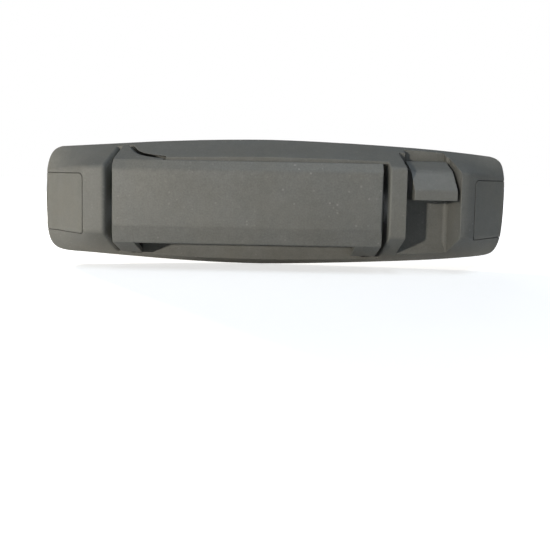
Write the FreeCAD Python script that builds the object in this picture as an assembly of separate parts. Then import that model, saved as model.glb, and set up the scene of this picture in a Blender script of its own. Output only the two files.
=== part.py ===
import FreeCAD, Part
import os
import math
from FreeCAD import Vector

# Outside door handle with a lift flap.
# X runs along the handle (lock end at +X), Z is up, the front faces -Y.
# Y = 0 is the door skin; the origin is midway between the mounting holes.
# Lengths are in mm. "Left" is -X and "right" is +X, as seen from the front.

# ---------------------------------------------------------------- main sizes
CLEAR = 40.0            # well outside the handle, for open-ended cuts
BACK = 1.0              # just behind the door skin, for cuts from the rear

FLOOR_Y = -3.5          # front of the bowl floor
BLOCK_X = -70.4         # left wall of the bowl
RIDGE_X0, RIDGE_X1 = 47.3, 54.2   # ridge between the bowl and the lock recess
STRIP_Z = 17.8          # underside of the fixed upper strip
RECESS_Y = -8.0         # floor of the lock recess
RECESS_X1 = 76.5        # right wall of the lock recess

HOLE_SPACING = 177.0    # mounting holes, centre to centre
HOLE_R = 4.05
HOLE_DEEP = 7.5

PIVOT_Y, PIVOT_Z = 11.0, 12.5
PIN_R = 3.0
RUN = 0.05              # radial running clearance on the pins
BUSH_R = 4.3
FLANGE_R = 6.2          # bush flange
FLANGE_T = 0.9
HUB_R = 7.2

FLAP_X0, FLAP_X1 = -67.4, 44.6
OPEN_X0, OPEN_X1 = -58.7, 34.0    # finger opening between the flap legs
LEFT_ARM = (-67.2, -62.4)         # x span of each flap arm
RIGHT_ARM = (37.4, 42.9)
LEFT_BRACKET = (-75.4, -50.8)     # x span of each hinge bracket
RIGHT_BRACKET = (29.6, 54.4)

CAP_SPANS = {           # inner end of each end cap, and an x past its outer end
    "left_end_cap": (-80.4, -110.0),
    "right_end_cap": (84.6, 110.0),
}
CAP_Z0, CAP_Z1 = -14.2, 11.8      # end cap pocket
CAP_BACK_Y = -1.5
CAP_WALL = 2.4
SEAM = 0.3              # seam round the end caps

COVER_X0, COVER_X1 = 57.6, 75.3
COVER_GAP = 0.35        # play of the key cover in its window
LEG_Y0, LEG_Y1 = -6.0, -4.4       # slide legs of the key cover
LEG_PLAY = 0.25

BUFFER_PLACES = ((-63.0, -20.6), (39.6, -20.6))   # (x, z)
BUFFER_R = 2.9
BUFFER_STEM_R = 1.6
BUFFER_LENGTH = 4.2     # in front of the bowl floor


# ---------------------------------------------------------------- helpers
def box(x0, x1, y0, y1, z0, z1):
    return Part.makeBox(x1 - x0, y1 - y0, z1 - z0, Vector(x0, y0, z0))


def pivot_cyl(radius, x0, x1, dy=0.0, dz=0.0):
    """Cylinder along X on the pivot axis, or shifted from it by dy, dz."""
    base = Vector(x0, PIVOT_Y + dy, PIVOT_Z + dz)
    return Part.makeCylinder(radius, x1 - x0, base, Vector(1, 0, 0))


def cyl_y(radius, y0, y1, x, z):
    return Part.makeCylinder(radius, y1 - y0, Vector(x, y0, z), Vector(0, 1, 0))


def outline(points, place):
    """Closed wire through (a, b[, radius]) points; place maps it into space."""
    count = len(points)
    corners = []        # arc start, middle and end; a sharp corner has no middle
    for i, point in enumerate(points):
        corner = Vector(point[0], point[1], 0)
        radius = point[2] if len(point) > 2 else 0.0
        if radius <= 0:
            corners.append((corner, None, corner))
            continue
        before, after = points[i - 1], points[(i + 1) % count]
        to_before = Vector(before[0], before[1], 0) - corner
        to_after = Vector(after[0], after[1], 0) - corner
        # an arc takes up less than half of the shorter side
        room = 0.47 * min(to_before.Length, to_after.Length)
        to_before.normalize()
        to_after.normalize()
        half = to_before.getAngle(to_after) / 2.0
        setback = min(radius / math.tan(half), room)
        radius = setback * math.tan(half)
        bisector = (to_before + to_after).normalize()
        centre = corner + bisector * (radius / math.sin(half))
        corners.append((corner + to_before * setback, centre - bisector * radius,
                        corner + to_after * setback))
    edges = []
    for i, (start, middle, end) in enumerate(corners):
        if middle is not None:
            edges.append(Part.Arc(place(start), place(middle), place(end)).toShape())
        following = corners[(i + 1) % count][0]
        if (following - end).Length > 1e-6:
            edges.append(Part.makeLine(place(end), place(following)))
    return Part.Wire(edges)


def prism_yz(points, x0, x1):
    wire = outline(points, lambda flat: Vector(x0, flat.x, flat.y))
    return Part.Face(wire).extrude(Vector(x1 - x0, 0, 0))


def prism_xz(points, y0, y1):
    wire = outline(points, lambda flat: Vector(flat.x, y0, flat.y))
    return Part.Face(wire).extrude(Vector(0, y1 - y0, 0))


def prism_xy(points, z0, z1):
    wire = outline(points, lambda flat: Vector(flat.x, flat.y, z0))
    return Part.Face(wire).extrude(Vector(0, 0, z1 - z0))


def round_box(x0, x1, y0, y1, z0, z1, radius=0.0):
    """Box with its four edges along Y rounded."""
    return prism_xz([(x0, z0, radius), (x1, z0, radius),
                     (x1, z1, radius), (x0, z1, radius)], y0, y1)


def fuse(shapes):
    return shapes[0].multiFuse(shapes[1:]).removeSplitter()


def fuse_slices(slices):
    """Join (yz profile, x0, x1) slices."""
    return fuse([prism_yz(*piece) for piece in slices])


def lerp(x, table):
    for (x0, value0), (x1, value1) in zip(table, table[1:]):
        if x <= x1:
            return value0 + (value1 - value0) * (x - x0) / (x1 - x0)
    return table[-1][1]


def in_x_plane(edge, x, tolerance):
    bounds = edge.BoundBox
    return abs(bounds.XMin - x) < tolerance and abs(bounds.XMax - x) < tolerance


def round_edges(shape, radius, picker):
    """Round the picked edges; keep the shape sharp if they can't be rounded."""
    edges = [edge for edge in shape.Edges if picker(edge)]
    for scale in (1.0, 0.6, 0.35):
        # guards against a fillet that fails at this radius, or has no edges
        try:
            rounded = shape.makeFillet(radius * scale, edges)
            if rounded.isValid() and rounded.Volume > 0:
                return rounded
        except Exception:
            pass
    return shape


# ---------------------------------------------------------------- outer skin
# (x, half height at the rear edge)
HALF_HEIGHT = [
    (-112, 23.0), (-98, 23.8), (-88, 24.5), (-76, 25.3), (-62, 26.3), (-48, 27.2),
    (-34, 27.9), (-20, 28.35), (-6, 28.5), (7, 28.4), (21, 27.95), (35, 27.4),
    (49, 26.75), (63, 25.95), (76, 25.0), (90, 23.65), (98, 22.7), (112, 21.5)]
# (x, depth of the front face from the door skin)
DEPTH = [
    (-112, 1.4), (-105, 1.4), (-102, 3.6), (-95, 9.3), (-88, 15.5), (-84.5, 18.5),
    (-81.5, 20.8), (-78.5, 22.2), (-74, 23.0), (-66, 23.6), (-50, 24.0), (-20, 24.4),
    (0, 24.5), (20, 24.4), (50, 24.2), (66, 23.9), (74, 23.4), (78.5, 22.6),
    (81.5, 21.0), (84.5, 18.6), (88, 15.5), (95, 9.3), (102, 3.6), (105, 1.4), (112, 1.4)]
# (x, distance of the front face's upper edge above Z = 0)
FACE_TOP = [
    (-112, 13.0), (-98, 13.6), (-88, 14.2), (-74, 14.8), (-66, 15.6), (-50, 16.4),
    (0, 16.8), (40, 16.6), (50, 16.2), (66, 15.4), (78, 14.6), (88, 14.2), (98, 13.6),
    (112, 13.0)]
# (x, distance of the front face's lower edge below Z = 0)
FACE_BOTTOM = [
    (-112, 12.6), (-98, 12.8), (-74, 12.8), (0, 13.2), (50, 12.8), (66, 12.8),
    (98, 12.8), (112, 12.6)]
# x of the lofted sections
SECTIONS = [-112, -106, -103, -100, -95, -88, -84.5, -81.5, -78.5, -74, -66, -48, -20,
            0, 20, 48, 66, 74, 78.5, 81.5, 84.5, 88, 95, 100, 103, 106, 112]
# (x, z) round the handle, seen from the front
RIM = [
    (-96.5, 24.0), (-89, 24.6), (-76, 25.4), (-62, 26.35), (-48, 27.1), (-34, 27.75),
    (-20, 28.2), (-6, 28.45), (7, 28.45), (21, 28.2), (35, 27.7), (49, 27.0),
    (63, 26.1), (76, 25.05), (90, 23.7), (96.5, 22.95), (100.4, 21.8), (102.7, 19.8),
    (103.9, 16.6), (104.7, 9.0), (104.8, 0.5), (104.3, -8.0), (103.3, -14.6),
    (102.0, -18.5), (99.9, -21.3), (96.2, -22.7), (90, -23.6), (76, -24.9),
    (63, -25.75), (49, -26.45), (35, -27.1), (21, -27.7), (7, -28.2), (-6, -28.5),
    (-20, -28.45), (-34, -28.0), (-48, -27.3), (-62, -26.35), (-76, -25.3),
    (-89, -24.4), (-96.5, -23.7), (-100.6, -22.0), (-102.7, -19.4), (-103.9, -16.0),
    (-104.7, -8.0), (-105.0, 0.0), (-104.7, 8.0), (-103.9, 15.8), (-102.7, 19.4),
    (-100.6, 22.3)]
RIM_HALF_X, RIM_HALF_Z = 105.0, 27.8   # half sizes used to scale the rim inward
RIM_FRONT_Y = -32.0


def rim_prism(inset):
    """Front outline of the handle as a prism, moved inward by inset."""
    scale_x, scale_z = 1 - inset / RIM_HALF_X, 1 - inset / RIM_HALF_Z
    curve = Part.BSplineCurve()
    curve.interpolate([Vector(x * scale_x, RIM_FRONT_Y, z * scale_z) for x, z in RIM],
                      PeriodicFlag=True)
    wire = Part.Wire([curve.toShape()])
    return Part.Face(wire).extrude(Vector(0, -RIM_FRONT_Y, 0))


def skin(inset):
    """Solid body of the handle, shrunk by inset."""
    rear_y = 6
    wires = []
    for x in SECTIONS:
        half = lerp(x, HALF_HEIGHT) - inset
        depth = max(lerp(x, DEPTH) - inset, 0.6)
        top = lerp(x, FACE_TOP) - 0.5 * inset
        bottom = lerp(x, FACE_BOTTOM) - 0.5 * inset
        edge = min(1.4, 0.4 * depth)
        radius = min(2.6, 0.35 * depth)
        points = [(rear_y, -half), (-edge, -half), (-depth, -bottom, radius),
                  (-depth, top, radius), (-edge, half), (rear_y, half)]
        wires.append(outline(points, lambda flat, x=x: Vector(x, flat.x, flat.y)))
    return Part.makeLoft(wires, True, False).common(rim_prism(inset))


outer_skin = skin(0.0)
SKIN_SHELL = outer_skin.Shells[0]
cap_core = skin(CAP_WALL)


def on_skin(edge):
    """True for edges that lie on the outer skin of the housing."""
    middle = edge.valueAt(0.5 * (edge.FirstParameter + edge.LastParameter))
    return SKIN_SHELL.distToShape(Part.Vertex(middle))[0] < 0.02


# ---------------------------------------------------------------- flap
# Profiles are (y, z[, corner radius]).
PLATE = [(-24.2, 13.6, 4.0), (-24.5, -9.6, 4.0), (-22.2, -17.2, 1.2), (-19.9, -17.0, 1.0),
         (-21.6, -9.6, 2.0), (-21.4, 12.6, 1.5), (-19.6, 16.8, 0.5), (-21.2, 18.4, 0.9)]
SHOULDER = [(-24.0, 13.6), (-21.2, 18.0), (-8.0, 24.6, 0.5), (-7.6, 23.5, 0.4),
            (-20.4, 17.0), (-21.6, 12.6)]
LEG = [(-24.5, -9.6), (-22.4, -16.8), (-9.4, -23.0, 0.8), (-8.2, -21.6, 0.8),
       (-19.6, -15.4), (-21.6, -9.0)]
RETURN_TOP = [(-23.8, 13.4), (-21.2, 17.4)]
RETURN_LOW = [(-15.0, -10.0, 8), (-9.2, -20.4, 2), (-9.8, -22.4), (-22.0, -16.2),
              (-23.9, -9.6)]
LEFT_RETURN = RETURN_TOP + [(-9.0, 23.4), (-8.8, 20.8, 2), (-15.0, 11.0, 8)] + RETURN_LOW
RIGHT_RETURN = RETURN_TOP + [(-20.2, 15.6, 1), (-20.4, 8.0, 3), (-15.0, 3.0, 4)] + RETURN_LOW
RETURN_T = 2.2
ARM = [(-23.2, -9.6), (-23.2, 5.0), (-15.0, 7.0, 4), (-2.5, 12.2, 6), (6.0, 17.5),
       (10.0, 19.0), (15.0, 17.5), (17.5, 12.5), (14.0, 6.6), (10.0, 5.6), (4.0, 5.2, 4),
       (-4.0, 1.2, 6), (-14.0, -7.0, 3)]
# (x, z) along the S-shaped upper edge of the shoulder
SHOULDER_EDGE = [(-67.0, 25.3), (-64.8, 23.9), (-62.5, 22.3), (-60.2, 20.8),
                 (-57.0, 19.75), (-53.0, 19.05), (-47.0, 18.4)]
FLAP_RIB_Z = (-6.0, 2.5, 11.0)


def flap_shoulder():
    """Left shoulder that runs up the slope to the rim, with an S-shaped edge."""
    strip = prism_yz(SHOULDER, FLAP_X0, -44.0)
    curve = Part.BSplineCurve()
    curve.interpolate([Vector(x, -CLEAR, z) for x, z in SHOULDER_EDGE])
    frame = [Vector(x, -CLEAR, z) for x, z in
             (SHOULDER_EDGE[-1], (-47.0, 12), (-70, 12), (-70, 26), SHOULDER_EDGE[0])]
    sides = [Part.makeLine(start, end) for start, end in zip(frame, frame[1:])]
    wire = Part.Wire([curve.toShape()] + sides)
    return strip.common(Part.Face(wire).extrude(Vector(0, CLEAR, 0)))


def flap_arm(x0, x1):
    """Arm back to the pivot, with its hub."""
    return prism_yz(ARM, x0, x1).fuse(pivot_cyl(HUB_R, x0, x1))


def make_flap():
    flap = fuse([
        prism_yz(PLATE, FLAP_X0, FLAP_X1),
        flap_shoulder(),
        # legs down the slope to the rim, either side of the finger opening
        prism_yz(LEG, FLAP_X0, OPEN_X0),
        prism_yz(LEG, OPEN_X1, FLAP_X1),
        prism_yz(LEFT_RETURN, FLAP_X0, FLAP_X0 + RETURN_T),
        prism_yz(RIGHT_RETURN, FLAP_X1 - RETURN_T, FLAP_X1),
        flap_arm(*LEFT_ARM),
        flap_arm(*RIGHT_ARM)])
    # ribs on the back of the flap
    flap = fuse([flap] + [box(FLAP_X0 + 1, FLAP_X1 - 1, -22.0, -20.4, z - 0.6, z + 0.6)
                          for z in FLAP_RIB_Z])
    for x0, x1 in (LEFT_ARM, RIGHT_ARM):
        flap = flap.cut(pivot_cyl(BUSH_R, x0 - 1, x1 + 1))
    # the ends of the face are rounded
    return flap.common(prism_xy([(FLAP_X0, CLEAR), (FLAP_X0, -24.65, 1.5),
                                 (FLAP_X1, -24.65, 1.5), (FLAP_X1, CLEAR)], -60, 60))


# ---------------------------------------------------------------- end caps
def cap_prism(x_inner, x_outer, gap, radius):
    """Prism of an end cap pocket, made smaller by gap except at its outer end."""
    side = 1 if x_inner > 0 else -1
    x_inner += side * gap
    z0, z1 = CAP_Z0 + gap, CAP_Z1 - gap
    points = [(x_outer, z0), (x_inner, z0, radius), (x_inner, z1, radius), (x_outer, z1)]
    return prism_xz(points[::side], -CLEAR, CAP_BACK_Y - gap)


def make_cap(x_inner, x_outer):
    return outer_skin.common(cap_prism(x_inner, x_outer, SEAM, 2.0)).cut(cap_core)


# ---------------------------------------------------------------- hinge brackets
# Slices are a profile of (y, z[, corner radius]), then x0, x1.
LEFT_SLICES = [
    # outboard plate
    ([(-1.5, -15.4), (11.5, -13.6, 3), (17.6, -4.0, 4), (19.2, 8.0, 4), (19.2, 16.0, 4),
      (14.5, 20.3, 4), (-1.5, 21.0)], LEFT_BRACKET[0], -71.0),
    # block beside the outboard plate
    ([(-1.5, 3.0), (15.5, 3.6, 3), (19.2, 7.0, 3), (19.2, 16.5, 5), (13.0, 20.3, 3),
      (-1.5, 20.8)], -71.2, -67.7),
    # inboard plate
    ([(-1.5, -11.0), (8.0, -10.0, 2), (17.0, 3.0, 4), (18.8, 9.0, 5), (18.8, 16.4, 5),
      (13.0, 20.0, 5), (-1.5, 20.4)], -55.4, LEFT_BRACKET[1]),
    # lower wall
    ([(-1.5, -15.4), (11.6, -13.6, 1), (11.6, -10.6, 1), (-1.5, -11.2)], *LEFT_BRACKET),
    # tab behind the lower wall
    ([(8.6, -14.0), (15.6, -11.6, 1), (16.2, -4.6, 1), (13.8, -4.4, 1), (12.6, -9.4, 1),
      (8.6, -10.8)], -63.7, -57.2),
    # lower rear corner of the inboard plate
    ([(8.0, -12.0), (14.6, -9.6, 1), (15.4, -1.6, 1), (12.8, -1.0, 1), (8.0, -6.8)],
     -55.4, LEFT_BRACKET[1]),
]
# ribs on the outboard face
LEFT_SLICES += [
    ([(-1.5, z - 0.8), (16.0, z - 0.8, 1), (17.8, z + 0.8, 1), (-1.5, z + 0.8)],
     LEFT_BRACKET[0] - 0.8, LEFT_BRACKET[0] + 0.2) for z in (-4.0, 3.5, 16.5)]
RIGHT_SLICES = [
    # inboard plate
    ([(-1.5, -12.0), (8.6, -10.4, 2), (16.4, -1.0, 5), (18.8, 8.0, 5), (18.8, 16.4, 5),
      (13.0, 20.2, 5), (-1.5, 20.4)], RIGHT_BRACKET[0], 33.0),
    # lower wall
    ([(-1.5, -12.2), (11.2, -10.0, 1), (11.2, -6.9, 1), (-1.5, -7.6)],
     RIGHT_BRACKET[0], 49.4),
    # sloping gusset under the lower wall
    ([(-1.5, -20.6), (0.2, -20.6), (8.2, -11.2), (8.2, -9.0), (-1.5, -9.0)], 31.5, 48.6),
    # cheek at the right end of the lower wall
    ([(-1.5, -12.0), (11.2, -10.0, 1), (11.2, -5.6, 2), (4.5, 1.6, 2), (-1.5, 2.6)],
     46.4, 49.4),
    # outboard bearing
    ([(-1.5, 5.6), (10.8, 6.2, 4), (16.6, 9.5, 4), (16.6, 16.0, 4), (10.8, 18.8, 4),
      (-1.5, 19.0)], 51.0, RIGHT_BRACKET[1]),
]

# ---------------------------------------------------------------- housing
# (x, z[, corner radius]) of the bowl's opening for the left flap shoulder
SHOULDER_ROOM = [
    (BLOCK_X, 15), (BLOCK_X, 40), (-66.0, 40), (-66.3, 26.2, 0.5), (-64.2, 24.7, 1.5),
    (-61.9, 23.1, 1.5), (-59.7, 21.75, 2), (-56.7, 20.8, 3), (-52.8, 20.15, 3),
    (-46.4, 19.5), (-45.6, 15)]
CREST_R = 30.3          # crest of the strip, about the pivot axis
CORE_WALL = 3.6         # skin left in front of the end pad core-outs
# T-shaped core-outs: bar x0, x1, z0, z1, then neck x0, x1 and the z it reaches
CORE_OUTS = [
    (-98.5, -75.9, -22.6, -15.3, -91.0, -84.0, -10.5),
    (-101.0, -78.6, 11.4, 20.0, -93.7, -86.0, 6.8),
    (79.5, 98.5, -21.2, -13.9, 84.0, 91.0, -9.8),
    (81.0, 100.0, 13.7, 21.2, 85.8, 90.7, 9.0)]
SLOT_TOP = 19.6         # upper end of the arm slots


def cut_bowl(body):
    """Space for the flap in front of the bowl floor, under the fixed strip."""
    bowl = prism_xy([(BLOCK_X, -CLEAR), (BLOCK_X, FLOOR_Y, 2.5), (RIDGE_X0, FLOOR_Y, 2.5),
                     (RIDGE_X0, -CLEAR)], -CLEAR, STRIP_Z)
    # the floor curves forward to a small lip along the lower edge
    bowl = bowl.common(prism_yz([(-45, 30), (FLOOR_Y, 30), (FLOOR_Y, -20.0, 16.0),
                                 (-6.2, -28.2), (-10.0, -45), (-45, -45)], -80, 60))
    body = body.cut(bowl)
    # the crest of the strip stays inside the arc that the flap's top edge sweeps
    crest = box(BLOCK_X, RIDGE_X0, -CLEAR, -10, 16, CLEAR)
    body = body.cut(crest.cut(pivot_cyl(CREST_R, BLOCK_X - 1, RIDGE_X0 + 1)))
    body = body.cut(prism_xz(SHOULDER_ROOM, -CLEAR, -4.6))
    # round the end walls where they meet the outer skin
    for wall_x, radius in ((BLOCK_X, 2.8), (RIDGE_X0, 1.3)):
        body = round_edges(body, radius, lambda edge: in_x_plane(edge, wall_x, 1e-3)
                           and edge.BoundBox.YMax < -7.0 and on_skin(edge))
    return body


def cut_recess(body):
    """Lock recess; its floor curves forward to a lip at the lower edge."""
    recess = prism_xy([(RIDGE_X1, -CLEAR), (RIDGE_X1, RECESS_Y, 1.2),
                       (RECESS_X1, RECESS_Y, 2.0), (RECESS_X1 + 1.2, -CLEAR)],
                      -CLEAR, CLEAR)
    recess = recess.common(prism_yz([(-45, 45), (RECESS_Y, 45), (RECESS_Y, -17.0, 10.0),
                                     (-9.9, -22.6), (-14.0, -45), (-45, -45)], 40, 90))
    body = body.cut(recess)
    # round the right wall where it meets the outer skin
    return round_edges(body, 3.6, lambda edge: edge.BoundBox.XMin > RECESS_X1 - 0.2
                       and edge.BoundBox.XMax < RECESS_X1 + 1.2
                       and edge.BoundBox.YMax < -9.0 and on_skin(edge))


def cut_end_pads(body):
    """End cap pockets, blind mounting holes and core-outs."""
    for x_inner, x_outer in CAP_SPANS.values():
        body = body.cut(cap_prism(x_inner, x_outer, 0.0, 2.2).cut(cap_core))
    for side in (-1, 1):
        body = body.cut(cyl_y(HOLE_R, -HOLE_DEEP, BACK, side * HOLE_SPACING / 2, 0))
    core = skin(CORE_WALL)
    for x0, x1, z0, z1, neck_x0, neck_x1, neck_z in CORE_OUTS:
        bar = round_box(x0, x1, -13.5, BACK, z0, z1, 1.2)
        # the neck runs from the bar's edge nearest the middle
        low, high = sorted((neck_z, min(z0, z1, key=abs)))
        neck = round_box(neck_x0, neck_x1, -6.0, BACK, low - 0.1, high + 0.1)
        body = body.cut(bar.common(core)).cut(neck)
    return body


def cut_lock_pocket(body):
    """Key cover window, stepped pocket behind the recess, and the screw lug."""
    # window, open to the top edge
    body = body.cut(box(COVER_X0 - COVER_GAP, COVER_X1 + COVER_GAP,
                        -CLEAR, LEG_Y1 + LEG_PLAY, 6.2, CLEAR))
    # pocket in three steps
    body = body.cut(prism_xz([(49.6, -22.2, 1), (78.2, -21.4, 1), (78.2, 19.0, 1),
                              (54.2, 19.0, 1), (54.2, -2), (49.6, -2)], -2.4, BACK))
    body = body.cut(box(54.9, 77.2, -4.15, -2.0, -18.6, 18.4))
    body = body.cut(round_box(56.6, 76.2, LEG_Y0 - LEG_PLAY, -4.0, -14.4, 17.4, 0.8))
    # screw lug, tied to the right side of the pocket
    lug = prism_xz([(64.6, -0.6, 2.5), (74.8, -0.6, 1.5), (74.8, 12.8, 1.5),
                    (64.6, 12.8, 2.5)], -4.1, 3.4)
    lug = fuse([lug, round_box(74.0, 78.6, -4.1, -1.6, -2.0, 14)])
    body = body.fuse(lug).removeSplitter()
    return body.cut(cyl_y(1.85, -3.0, 10, 69.8, 5.2))


def cut_bowl_back(body):
    """Shallow panel, groove and arm slots in the back of the bowl."""
    body = body.cut(round_box(-48.8, 26.7, -0.8, BACK, -22.7, 3.8, 0.8))
    body = body.cut(box(-42.5, 27.5, -0.6, BACK, 11.7, 12.5))
    for x0, x1, z0 in ((-68.4, -57.0, -8.6), (35.4, 45.4, -6.2)):
        body = body.cut(round_box(x0, x1, -6, BACK, z0, SLOT_TOP, 1))
    return body


def add_brackets(body):
    body = fuse([body, fuse_slices(LEFT_SLICES), fuse_slices(RIGHT_SLICES)])
    # pin bores
    body = body.cut(pivot_cyl(PIN_R, -77.2, -49.2))
    body = body.cut(pivot_cyl(PIN_R, 28, 55))
    # space swept by the arm hubs, and the springs inside the brackets
    body = body.cut(pivot_cyl(8.0, -67.6, -55.6))
    room = pivot_cyl(9.6, 33.2, 50.8)
    return body.cut(room.common(box(33.2, 50.8, 0.0, CLEAR, -CLEAR, CLEAR)))


def make_housing():
    body = outer_skin
    for step in (cut_bowl, cut_recess, cut_end_pads, cut_lock_pocket, cut_bowl_back,
                 add_brackets):
        body = step(body)
    # buffer seats
    for x, z in BUFFER_PLACES:
        body = body.cut(cyl_y(BUFFER_STEM_R, -10, 2, x, z))
        body = body.cut(cyl_y(BUFFER_R, -12, FLOOR_Y, x, z))
    return body


# ---------------------------------------------------------------- key cover
# (y, z[, corner radius]) of the outside and of the hollow
COVER = [(-23.6, 3.0, 0.5), (-23.8, 7.0, 3.0), (-17.2, 15.2, 9.0), (-9.0, 19.4, 1.0),
         (LEG_Y1, 19.9), (LEG_Y1, 3.0)]
COVER_HOLLOW = [(-21.8, 7.4), (-16.6, 13.4, 7.0), (-8.4, 17.4), (-3.0, 17.8), (-3.0, 7.4)]
LEG_WIDTH = 2.6
LEG_BOTTOM = -13.0


def make_key_cover():
    inner_x0, inner_x1 = COVER_X0 + 2.0, COVER_X1 - 2.4
    shell = prism_yz(COVER, COVER_X0, COVER_X1)
    shell = shell.cut(prism_yz(COVER_HOLLOW, inner_x0, inner_x1))
    shell = shell.cut(box(inner_x0, inner_x1, -21.8, -3.0, 2.0, 8.0))
    # below the window the side cheeks stop short of the recess floor
    shell = shell.cut(box(COVER_X0 - 1, COVER_X1 + 1, RECESS_Y - 0.3, -3.0, 2.0, 6.6))
    # slide legs behind the recess floor, joined by a foot
    legs = [box(x0, x0 + LEG_WIDTH, LEG_Y0, LEG_Y1, LEG_BOTTOM, 19.0)
            for x0 in (COVER_X0, COVER_X1 - LEG_WIDTH)]
    foot = box(COVER_X0, COVER_X1, LEG_Y0, LEG_Y1, LEG_BOTTOM, -9.4)
    return fuse([shell] + legs + [foot])


# ---------------------------------------------------------------- pins, clips, bushes
HEAD_R = 5.6
HEAD_T = 2.4
GROOVE_R = 2.3          # bottom of the clip groove
LEFT_CLIP = (-77.0, -76.2)        # x span of each clip and its groove
RIGHT_CLIP = (54.4, 55.2)


def make_pin(head_x, tip_x, clip):
    """Pin from head_x to tip_x; the head lies beyond head_x, away from the tip."""
    shank = pivot_cyl(PIN_R, min(head_x, tip_x), max(head_x, tip_x))
    end_x = head_x + HEAD_T if head_x > tip_x else head_x - HEAD_T
    head = pivot_cyl(HEAD_R, min(head_x, end_x), max(head_x, end_x))
    head = head.makeFillet(0.9, [e for e in head.Edges if in_x_plane(e, end_x, 1e-6)])
    groove = pivot_cyl(4, *clip).cut(pivot_cyl(GROOVE_R, clip[0] - 0.2, clip[1] + 0.2))
    return shank.fuse(head).removeSplitter().cut(groove)


def make_clip(x0, x1):
    """E-clip, open to the back."""
    clip = pivot_cyl(5.0, x0, x1).cut(pivot_cyl(GROOVE_R, x0 - 1, x1 + 1))
    clip = clip.cut(box(x0 - 1, x1 + 1, PIVOT_Y, PIVOT_Y + 9, PIVOT_Z - 1.9, PIVOT_Z + 1.9))
    for degrees in (100, 260):
        angle = math.radians(degrees)
        clip = clip.cut(pivot_cyl(1.3, x0 - 1, x1 + 1,
                                  3.5 * math.cos(angle), 3.5 * math.sin(angle)))
    return clip


def make_bush(arm, flange_x0):
    """Bush through a flap arm, with a flange that starts at flange_x0."""
    x0, x1 = arm
    bush = pivot_cyl(BUSH_R, x0, x1)
    bush = bush.fuse(pivot_cyl(FLANGE_R, flange_x0, flange_x0 + FLANGE_T))
    return bush.cut(pivot_cyl(PIN_R + RUN, x0 - 5, x1 + 5)).removeSplitter()


# ---------------------------------------------------------------- release lever
CHEEK_X0, CHEEK_X1 = 34.6, 36.4   # thin left cheek
LEVER_X0, LEVER_X1 = 43.1, 50.4   # thick right body
# (y, z, corner radius)
LEVER_REAR = [(19.0, 4.6, 4), (20.4, 12.0, 5), (18.6, 20.2, 4)]
LEVER_BODY = [(6.2, 4.0, 2)] + LEVER_REAR + [(9.0, 21.0, 3), (4.2, 13.0, 3)]
LEVER_CHEEK = [(7.0, 5.0, 2)] + LEVER_REAR + [(9.0, 20.4, 3), (5.0, 13.0, 3)]
LEVER_BRIDGE = [(18.4, 4.4, 1), (20.3, 6.0, 2), (20.9, 12.0, 4), (19.4, 19.4, 2),
                (18.4, 19.6, 0.5)]


def make_lever():
    lever = fuse_slices([(LEVER_BODY, LEVER_X0, LEVER_X1),
                         (LEVER_CHEEK, CHEEK_X0, CHEEK_X1),
                         (LEVER_BRIDGE, CHEEK_X0, LEVER_X1)])
    # room for the arm hub, the pin and the bush flange
    lever = lever.cut(pivot_cyl(HUB_R, CHEEK_X1, LEVER_X0))
    lever = lever.cut(pivot_cyl(PIN_R + RUN, 30, 55))
    lever = lever.cut(pivot_cyl(FLANGE_R + 0.05, 36.0, 37.6))
    # slot for the latch rod, with a shallow groove on each side
    lever = lever.cut(round_box(39.2, 41.0, 17.6, 30, 7.4, 15.2, 0.85))
    for x in (37.3, 42.2):
        lever = lever.cut(box(x, x + 0.7, 20.0, 30, 0, 30))
    return round_edges(lever, 0.6, lambda edge: edge.BoundBox.XMin > LEVER_X1 - 1e-3)


# ---------------------------------------------------------------- springs
def make_coil(x0, x1, radius, wire, turns, per_turn, sides):
    """Coil about the pivot axis: wire sections joined by ruled faces."""
    pitch = (x1 - x0 - wire) / turns
    wire_r = wire / 2 * 1.015     # a little over, as the section is a polygon
    rings = []
    for i in range(int(round(turns * per_turn)) + 1):
        angle = 2 * math.pi * i / per_turn
        outward = Vector(0, math.cos(angle), math.sin(angle))
        centre = Vector(x0 + wire / 2 + pitch * i / per_turn, PIVOT_Y, PIVOT_Z)
        centre = centre + outward * radius
        along = Vector(pitch / (2 * math.pi), -radius * math.sin(angle),
                       radius * math.cos(angle)).normalize()
        across = along.cross(outward).normalize()
        points = []
        for k in range(sides):
            turn = 2 * math.pi * k / sides
            points.append(centre + outward * (wire_r * math.cos(turn))
                          + across * (wire_r * math.sin(turn)))
        rings.append(Part.makePolygon(points + [points[0]]))
    return Part.makeLoft(rings, True, True)


# ---------------------------------------------------------------- buffers
def make_buffer(x, z):
    head = cyl_y(BUFFER_R, FLOOR_Y - BUFFER_LENGTH, FLOOR_Y, x, z)
    return head.fuse(cyl_y(BUFFER_STEM_R, FLOOR_Y, 0.0, x, z)).removeSplitter()


# ---------------------------------------------------------------- build and save
def save(name, shape):
    if shape.ShapeType == "Compound" and len(shape.Solids) == 1:
        shape = shape.Solids[0]
    shape.exportStep("parts/" + name + ".step")


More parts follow.
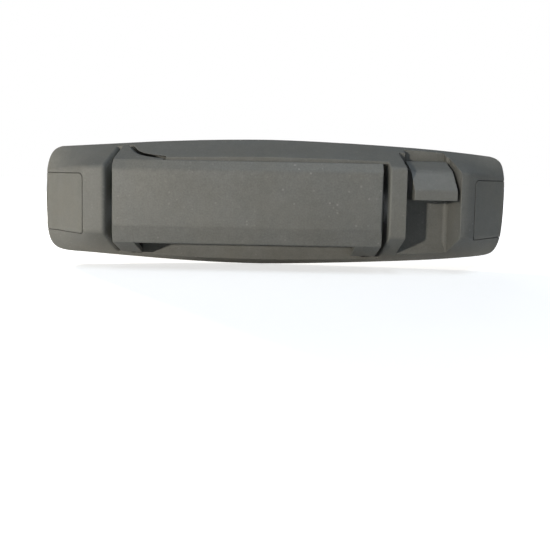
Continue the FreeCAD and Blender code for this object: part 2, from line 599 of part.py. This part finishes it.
pieces = {
    "housing": make_housing(),
    "pull_flap": make_flap(),
    "key_cover": make_key_cover(),
    "left_pivot_pin": make_pin(LEFT_BRACKET[1], -77.8, LEFT_CLIP),
    "right_pivot_pin": make_pin(RIGHT_BRACKET[0], 56.2, RIGHT_CLIP),
    "left_pin_clip": make_clip(*LEFT_CLIP),
    "right_pin_clip": make_clip(*RIGHT_CLIP),
    "left_pivot_bush": make_bush(LEFT_ARM, LEFT_ARM[1]),
    "right_pivot_bush": make_bush(RIGHT_ARM, RIGHT_ARM[0] - FLANGE_T),
    "release_lever": make_lever(),
    "return_spring": make_coil(x0=-61.2, x1=-55.75, radius=5.4, wire=1.3, turns=3.5,
                               per_turn=24, sides=12),
    "lever_spring": make_coil(x0=33.2, x1=34.4, radius=5.6, wire=0.5, turns=1.5,
                              per_turn=24, sides=8),
    "flap_buffers": Part.Compound([make_buffer(x, z) for x, z in BUFFER_PLACES]),
}
for cap_name, span in CAP_SPANS.items():
    pieces[cap_name] = make_cap(*span)

os.makedirs("parts", exist_ok=True)
for piece_name, piece_shape in pieces.items():
    save(piece_name, piece_shape)
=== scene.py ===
# A pull flap in a moulded housing, with end caps, a key cover, a release lever, pivot
# pins and springs. The pieces come from the CAD as they are; this script gives them
# materials and sets up the floor, lights and camera.
# Metres, +Z up. The front faces -Y, towards the camera, and left is -X.
import math

import bpy
from mathutils import Matrix, Vector


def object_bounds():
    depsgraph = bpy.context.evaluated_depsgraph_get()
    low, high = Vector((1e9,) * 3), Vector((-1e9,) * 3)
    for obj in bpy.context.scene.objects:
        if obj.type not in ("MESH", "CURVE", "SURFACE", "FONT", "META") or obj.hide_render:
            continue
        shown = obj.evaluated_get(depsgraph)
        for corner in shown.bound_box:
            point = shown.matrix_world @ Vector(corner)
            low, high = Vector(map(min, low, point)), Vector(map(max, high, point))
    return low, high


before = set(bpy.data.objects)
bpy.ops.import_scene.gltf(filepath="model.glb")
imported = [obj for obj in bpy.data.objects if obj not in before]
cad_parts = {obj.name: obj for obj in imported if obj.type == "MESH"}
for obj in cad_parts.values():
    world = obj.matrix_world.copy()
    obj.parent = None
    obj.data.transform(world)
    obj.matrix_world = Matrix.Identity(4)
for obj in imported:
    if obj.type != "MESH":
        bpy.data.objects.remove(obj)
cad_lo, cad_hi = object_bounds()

MM = 0.001

scene = bpy.context.scene
scene.view_settings.view_transform = "Standard"
scene.view_settings.look = "None"
scene.view_settings.exposure = 0.0
scene.view_settings.gamma = 1.0


# ------------------------------------------------------------------ node graphs
class Graph:
    """Builds the node tree of a material or a world.

    Wherever an input value is expected, an output socket may be given instead and is linked.
    Colours are given as (red, green, blue).
    """

    def __init__(self, owner, output_kind):
        owner.use_nodes = True
        self.tree = owner.node_tree
        self.tree.nodes.clear()
        self.out = self.add(output_kind)

    def add(self, kind, inputs=None, **props):
        """Make a node, set its properties, then set or link its inputs by name or index."""
        node = self.tree.nodes.new(kind)
        node.location = (40 * len(self.tree.nodes), 0)
        for name, value in props.items():
            setattr(node, name, value)
        for key, value in (inputs or {}).items():
            self.plug(node.inputs[key], value)
        return node

    def plug(self, socket, value):
        if isinstance(value, bpy.types.NodeSocket):
            self.tree.links.new(value, socket)
        elif socket.type == "RGBA":
            socket.default_value = (*value, 1.0)
        else:
            socket.default_value = value

    def surface(self, shader):
        self.plug(self.out.inputs["Surface"], shader)

    def principled(self, inputs):
        return self.add("ShaderNodeBsdfPrincipled", inputs).outputs["BSDF"]

    def math(self, operation, first, *others):
        """Apply a two-value operation from left to right."""
        result = first
        for other in others:
            node = self.add("ShaderNodeMath", {0: result, 1: other}, operation=operation)
            result = node.outputs[0]
        return result

    def scaled(self, vector, scale):
        return self.add("ShaderNodeMapping", {"Scale": scale, "Vector": vector}).outputs["Vector"]

    def coords_mm(self):
        """Object coordinates in millimetres."""
        return self.scaled(self.add("ShaderNodeTexCoord").outputs["Object"], (1 / MM,) * 3)

    def noise(self, vector, scale, detail=3.0, rough=0.55, distortion=0.0):
        return self.add("ShaderNodeTexNoise", {
            "Vector": vector, "Scale": scale, "Detail": detail,
            "Roughness": rough, "Distortion": distortion,
        }).outputs["Fac"]

    def voronoi(self, vector, scale):
        return self.add("ShaderNodeTexVoronoi", {"Vector": vector, "Scale": scale})

    def remap(self, value, span, to=(0.0, 1.0)):
        """Map the range span onto the range to, clamped at its ends."""
        return self.add("ShaderNodeMapRange", {
            "Value": value, "From Min": span[0], "From Max": span[1],
            "To Min": to[0], "To Max": to[1],
        }).outputs["Result"]

    def mix(self, factor, color_a, color_b):
        # Inputs 6 and 7 and output 2 are the colour sockets of the mix node.
        node = self.add("ShaderNodeMix", data_type="RGBA")
        for index, value in ((0, factor), (6, color_a), (7, color_b)):
            self.plug(node.inputs[index], value)
        return node.outputs[2]

    def bump(self, height, strength, depth_mm, normal):
        return self.add("ShaderNodeBump", {
            "Strength": strength, "Distance": depth_mm * MM, "Height": height, "Normal": normal,
        }).outputs["Normal"]

    def rounded_normal(self, radius_mm):
        """Normal that makes sharp edges look rounded."""
        node = self.add("ShaderNodeBevel", {"Radius": radius_mm * MM}, samples=6)
        return node.outputs["Normal"]

    def edge_mask(self, rounded):
        """1 where the rounded normal leaves the true one, along edges."""
        true_normal = self.add("ShaderNodeNewGeometry").outputs["Normal"]
        dot = self.add("ShaderNodeVectorMath", {0: rounded, 1: true_normal},
                       operation="DOT_PRODUCT")
        return self.remap(dot.outputs["Value"], span=(0.995, 0.90))

    def openness(self, reach_mm):
        """Ambient occlusion: 1 in the open, lower in corners."""
        node = self.add("ShaderNodeAmbientOcclusion", {"Distance": reach_mm * MM}, samples=6)
        return node.outputs["AO"]


def new_material(name):
    material = bpy.data.materials.new(name)
    return material, Graph(material, "ShaderNodeOutputMaterial")


def shade(color, factor):
    return tuple(channel * factor for channel in color)


# ------------------------------------------------------------------ materials
def plastic(name, base, grain, specks, rough, edge_mm=0.45, corner_shade_strength=0.55):
    """Moulded, spark-grained ABS: mottled grey, fine grain, painted shade in corners, rubbed
    edges.

    grain, specks and the corner-shade strength scale the strength of each effect; edge_mm is the
    edge radius.
    """
    material, g = new_material(name)
    pos = g.coords_mm()
    rounded = g.rounded_normal(edge_mm)
    edge = g.edge_mask(rounded)

    # Brightness mottled at three sizes, over a slow drift towards a cooler hue
    broad = g.noise(pos, scale=0.035, detail=2.0, rough=0.5)
    medium = g.noise(pos, scale=0.28, detail=4.0, rough=0.6)
    fine = g.noise(pos, scale=1.35, rough=0.65)
    tone = g.math("ADD",
                  g.remap(broad, span=(0.3, 0.7), to=(-0.06, 0.06)),
                  g.remap(medium, span=(0.3, 0.7), to=(-0.07, 0.07)),
                  g.remap(fine, span=(0.25, 0.75), to=(-0.13 * grain, 0.13 * grain)),
                  1.0)
    cooler = (base[0] * 0.985, base[1], base[2] * 1.03)
    drift = g.remap(g.noise(pos, scale=0.06, detail=2.0), span=(0.35, 0.65))
    hue = g.mix(drift, base, cooler)
    color = g.add("ShaderNodeVectorMath", {0: hue, "Scale": tone},
                  operation="SCALE").outputs["Vector"]

    # Light specks of dust and rubbed grain tips: a few of the cells, in clusters
    cells = g.voronoi(pos, scale=0.62)
    near_centre = g.remap(cells.outputs["Distance"], span=(0.20, 0.34), to=(1.0, 0.0))
    cell_color = g.add("ShaderNodeSeparateColor", {"Color": cells.outputs["Color"]})
    rare = g.remap(cell_color.outputs["Red"], span=(0.80, 0.90))
    cluster = g.remap(g.noise(pos, scale=0.05, detail=2.0), span=(0.42, 0.62))
    speck = g.math("MULTIPLY", near_centre, rare, cluster, 0.34 * specks)
    color = g.mix(speck, color, (0.46, 0.45, 0.42))

    # Faint vertical rub marks
    streaks = g.noise(g.scaled(pos, (1.0, 1.0, 0.10)), scale=0.9, rough=0.6)
    rub = g.math("MULTIPLY", g.remap(streaks, span=(0.60, 0.76), to=(0.0, 0.12)), cluster)
    color = g.mix(rub, color, (0.34, 0.33, 0.31))

    # Edges rubbed a little lighter, broken up by noise
    broken = g.remap(g.noise(pos, scale=0.9, detail=4.0, rough=0.7),
                     span=(0.38, 0.66), to=(0.15, 1.0))
    wear = g.math("MULTIPLY", edge, broken, 0.30)
    color = g.mix(wear, color, tuple(channel * 1.9 + 0.03 for channel in base))

    # Painted shade: corners and crevices darkened towards a deeper grey by ambient occlusion, in
    # noisy patches
    painted_corner_shade = g.remap(g.openness(reach_mm=3.2), span=(0.35, 0.95), to=(1.0, 0.0))
    shade_patches = g.remap(g.noise(pos, scale=0.5, detail=4.0),
                      span=(0.3, 0.7), to=(0.5 * corner_shade_strength, 1.0 * corner_shade_strength))
    color = g.mix(g.math("MULTIPLY", painted_corner_shade, shade_patches), color, shade(base, 0.42))

    # Spark grain, then a slight waviness of the moulding
    grain_noise = g.math("MULTIPLY", g.noise(pos, scale=2.6, detail=2.0, rough=0.6), 0.6)
    grain_cells = g.math("MULTIPLY", g.voronoi(pos, scale=1.9).outputs["Distance"], 0.5)
    normal = g.bump(g.math("ADD", grain_noise, grain_cells),
                    strength=0.55 * grain, depth_mm=0.09, normal=rounded)
    waves = g.noise(pos, scale=0.07, detail=2.0, rough=0.5)
    normal = g.bump(waves, strength=0.25, depth_mm=0.5, normal=normal)

    # Rubbed edges are smoother
    roughness = g.math("ADD",
                       g.remap(medium, span=(0.3, 0.7), to=(rough - 0.05, rough + 0.07)),
                       g.math("MULTIPLY", edge, -0.10))
    g.surface(g.principled({
        "Base Color": color, "Roughness": roughness, "IOR": 1.5,
        "Specular IOR Level": 0.42, "Normal": normal,
    }))
    return material


def steel(name, base, rough, tarnish, scratch=1.0):
    """Turned or drawn steel: fine lines across X, brown tarnish blotches, small pits."""
    material, g = new_material(name)
    pos = g.coords_mm()
    rounded = g.rounded_normal(0.2)
    lines = g.noise(g.scaled(pos, (9.0, 0.6, 0.6)), scale=1.0, rough=0.6)
    blotches = g.noise(pos, scale=0.35, detail=5.0, rough=0.65, distortion=0.6)
    fine = g.noise(pos, scale=2.2, rough=0.6)

    stain = g.remap(blotches, span=(0.46, 0.70), to=(0.0, tarnish))
    color = g.mix(stain, base, (0.30, 0.17, 0.09))
    color = g.mix(g.remap(fine, span=(0.35, 0.7), to=(0.0, 0.25)), color, shade(base, 0.72))
    roughness = g.math("ADD",
                       g.remap(lines, span=(0.3, 0.7), to=(rough - 0.06, rough + 0.08)),
                       g.math("MULTIPLY", stain, 0.35))
    height = g.math("ADD", g.math("MULTIPLY", lines, 0.7), g.math("MULTIPLY", fine, 0.5))
    g.surface(g.principled({
        "Base Color": color, "Metallic": 1.0, "Roughness": roughness,
        "Normal": g.bump(height, strength=0.30 * scratch, depth_mm=0.03, normal=rounded),
    }))
    return material


def acetal(name, base):
    """Pale, slightly translucent plastic, with painted brownish shade in the corners."""
    material, g = new_material(name)
    pos = g.coords_mm()
    rounded = g.rounded_normal(0.2)
    medium = g.noise(pos, scale=0.5, detail=4.0, rough=0.6)
    fine = g.noise(pos, scale=4.0, detail=2.0, rough=0.5)

    color = g.mix(g.remap(medium, span=(0.35, 0.7), to=(0.0, 0.35)), base, shade(base, 0.72))
    # Painted shade: darker brown in corners and crevices, from ambient occlusion
    painted_corner_shade = g.remap(g.openness(reach_mm=2.0), span=(0.4, 0.95), to=(0.6, 0.0))
    color = g.mix(painted_corner_shade, color, (0.10, 0.085, 0.06))
    g.surface(g.principled({
        "Base Color": color,
        "Roughness": g.remap(fine, span=(0.3, 0.7), to=(0.30, 0.42)),
        "Subsurface Weight": 0.08,
        "Subsurface Radius": (0.001, 0.0009, 0.0006),
        "Normal": g.bump(fine, strength=0.2, depth_mm=0.04, normal=rounded),
    }))
    return material


def rubber(name):
    """Matt black rubber, greyer along its edges."""
    material, g = new_material(name)
    pos = g.coords_mm()
    rounded = g.rounded_normal(0.3)
    edge = g.edge_mask(rounded)
    medium = g.noise(pos, scale=0.8, detail=5.0, rough=0.6)
    fine = g.noise(pos, scale=5.0, rough=0.6)

    color = g.mix(g.remap(medium, span=(0.35, 0.7)),
                  (0.018, 0.018, 0.018), (0.040, 0.038, 0.035))
    color = g.mix(g.math("MULTIPLY", edge, 0.35), color, (0.09, 0.088, 0.082))
    g.surface(g.principled({
        "Base Color": color,
        "Roughness": g.remap(medium, span=(0.3, 0.7), to=(0.70, 0.88)),
        "Normal": g.bump(fine, strength=0.4, depth_mm=0.06, normal=rounded),
    }))
    return material


MATERIALS = {
    "housing": plastic("housing_plastic", base=(0.182, 0.180, 0.163),
                       grain=0.8, specks=0.5, rough=0.60),
    "flap": plastic("flap_plastic", base=(0.176, 0.175, 0.160),
                    grain=1.15, specks=1.0, rough=0.52, corner_shade_strength=0.45),
    "cap": plastic("cap_plastic", base=(0.190, 0.187, 0.166),
                   grain=0.55, specks=0.25, rough=0.54, edge_mm=0.3),
    "cover": plastic("cover_plastic", base=(0.180, 0.179, 0.164),
                     grain=0.7, specks=0.3, rough=0.47, edge_mm=0.35),
    "lever": plastic("lever_plastic", base=(0.27, 0.265, 0.235),
                     grain=0.5, specks=0.3, rough=0.50, edge_mm=0.35, corner_shade_strength=0.7),
    "pin": steel("pin_steel", base=(0.80, 0.77, 0.70), rough=0.22, tarnish=0.30),
    "clip": steel("clip_steel", base=(0.46, 0.42, 0.38), rough=0.36, tarnish=0.6),
    "spring": steel("spring_steel", base=(0.52, 0.47, 0.41),
                    rough=0.30, tarnish=0.75, scratch=1.4),
    "bush": acetal("bush_acetal", base=(0.62, 0.60, 0.53)),
    "rubber": rubber("buffer_rubber"),
}

# CAD piece: material. Any piece not listed takes the housing's.
PIECE_MATERIALS = {
    "pull_flap": "flap", "left_end_cap": "cap", "right_end_cap": "cap",
    "key_cover": "cover", "release_lever": "lever",
    "left_pivot_pin": "pin", "right_pivot_pin": "pin",
    "left_pin_clip": "clip", "right_pin_clip": "clip",
    "return_spring": "spring", "lever_spring": "spring",
    "left_pivot_bush": "bush", "right_pivot_bush": "bush",
    "flap_buffers": "rubber",
}
for piece_name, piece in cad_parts.items():
    piece.data.materials.clear()
    piece.data.materials.append(MATERIALS[PIECE_MATERIALS.get(piece_name, "housing")])


# ------------------------------------------------------------------ floor
FLOOR_HALF = 3.0
FLOOR_GAP = 0.0002  # below the lowest point of the CAD


def floor_paper():
    """Matt off-white paper that glows for the camera only, so that it fades to white."""
    material, g = new_material("floor_paper")
    clouds = g.noise(g.coords_mm(), scale=0.02)
    color = g.mix(g.remap(clouds, span=(0.3, 0.7)), (0.86, 0.86, 0.855), (0.89, 0.89, 0.885))
    paper = g.principled({"Base Color": color, "Roughness": 0.9, "Specular IOR Level": 0.1})

    # The glow grows with the distance from the origin, in metres
    position = g.add("ShaderNodeTexCoord").outputs["Object"]
    distance = g.add("ShaderNodeVectorMath", {0: position}, operation="LENGTH")
    glow = g.remap(distance.outputs["Value"], span=(0.10, 0.45), to=(0.62, 1.0))
    camera_ray = g.add("ShaderNodeLightPath").outputs["Is Camera Ray"]
    emission = g.add("ShaderNodeEmission", {
        "Color": (1, 1, 1), "Strength": g.math("MULTIPLY", glow, camera_ray),
    }).outputs["Emission"]
    g.surface(g.add("ShaderNodeAddShader", {0: paper, 1: emission}).outputs["Shader"])
    return material


def build_floor():
    z = cad_lo.z - FLOOR_GAP
    corners = [(x * FLOOR_HALF, y * FLOOR_HALF, z)
               for x, y in ((-1, -1), (1, -1), (1, 1), (-1, 1))]
    mesh = bpy.data.meshes.new("floor")
    mesh.from_pydata(corners, [], [(0, 1, 2, 3)])
    floor = bpy.data.objects.new("floor", mesh)
    scene.collection.objects.link(floor)
    mesh.materials.append(floor_paper())


build_floor()


# ------------------------------------------------------------------ world
def build_world():
    """White to the camera; for all other rays a dim light, warm below and cool above."""
    world = bpy.data.worlds.new("studio")
    scene.world = world
    g = Graph(world, "ShaderNodeOutputWorld")
    backdrop = g.add("ShaderNodeBackground", {"Color": (1, 1, 1), "Strength": 1.0})

    direction = g.add("ShaderNodeTexCoord").outputs["Generated"]
    height = g.add("ShaderNodeSeparateXYZ", {"Vector": direction}).outputs["Z"]
    ramp = g.add("ShaderNodeValToRGB", {"Fac": g.remap(height, span=(-0.6, 0.9))})
    below, above = ramp.color_ramp.elements
    below.position = 0.0
    below.color = (0.74, 0.70, 0.64, 1)
    above.position = 1.0
    above.color = (0.86, 0.98, 1.22, 1)
    ambient = g.add("ShaderNodeBackground", {"Color": ramp.outputs["Color"], "Strength": 0.115})

    camera_ray = g.add("ShaderNodeLightPath").outputs["Is Camera Ray"]
    g.surface(g.add("ShaderNodeMixShader", {
        "Fac": camera_ray,
        1: ambient.outputs["Background"],
        2: backdrop.outputs["Background"],
    }).outputs["Shader"])


build_world()


# ------------------------------------------------------------------ lights
def polar(azimuth, elevation, radius):
    """Point around the origin, in degrees; azimuth 0 is the front, negative is left."""
    a, e = math.radians(azimuth), math.radians(elevation)
    return (radius * math.cos(e) * math.sin(a),
            -radius * math.cos(e) * math.cos(a),
            radius * math.sin(e))


def look_along(direction):
    return direction.to_track_quat("-Z", "Y")


ORIGIN = (0, 0, 0)
LIGHT_RADIUS = 0.85  # of the lights placed by angle
# A warm low key at the front left with a wide soft fill on the same side, cool light from
# above, and a warm key and a broad cool fill for the back.
# Name, location, target, disk diameter, power in watts, colour
LIGHTS = [
    ("key", polar(-36.4, 6.4, LIGHT_RADIUS), ORIGIN, 0.035, 3.8, (1.0, 0.945, 0.84)),
    ("left_fill", (-0.42, -0.26, 0.10), (-0.05, 0, 0), 0.30, 0.20, (1.0, 0.965, 0.90)),
    ("top", (0.14, -0.24, 0.78), ORIGIN, 0.45, 1.8, (0.78, 0.90, 1.0)),
    ("back_key", polar(-131.0, 15.0, LIGHT_RADIUS), ORIGIN, 0.05, 7.0, (1.0, 0.935, 0.83)),
    ("back_fill", polar(172.0, -4.0, LIGHT_RADIUS), ORIGIN, 0.70, 5.0, (0.86, 0.92, 1.0)),
]
for name, location, target, diameter, power, color in LIGHTS:
    light = bpy.data.lights.new(name, "AREA")
    light.shape = "DISK"
    light.size = diameter
    light.energy = power
    light.color = color
    lamp = bpy.data.objects.new(name, light)
    lamp.location = location
    lamp.rotation_mode = "QUATERNION"
    lamp.rotation_quaternion = look_along(Vector(target) - Vector(location))
    scene.collection.objects.link(lamp)

# ------------------------------------------------------------------ camera
CAMERA_DISTANCE = 0.220
CAMERA_ELEVATION = 3.0  # degrees
CAMERA_ROLL = 1.1  # degrees
SENSOR_WIDTH = 36.0  # mm
FOCAL_LENGTH = 31.130182  # mm
SHIFT_Y = -0.13272727  # fraction of the picture's width; raises the subject in it

camera_data = bpy.data.cameras.new("camera")
camera = bpy.data.objects.new("camera", camera_data)
scene.collection.objects.link(camera)
camera_data.sensor_width = SENSOR_WIDTH
camera_data.lens = FOCAL_LENGTH
camera_data.shift_y = SHIFT_Y
camera_data.clip_start = 0.01
camera_data.clip_end = 20.0
camera.location = polar(0, CAMERA_ELEVATION, CAMERA_DISTANCE)
roll = Matrix.Rotation(math.radians(CAMERA_ROLL), 4, "Z").to_quaternion()
camera.rotation_mode = "QUATERNION"
camera.rotation_quaternion = look_along(-Vector(camera.location)) @ roll
scene.camera = camera
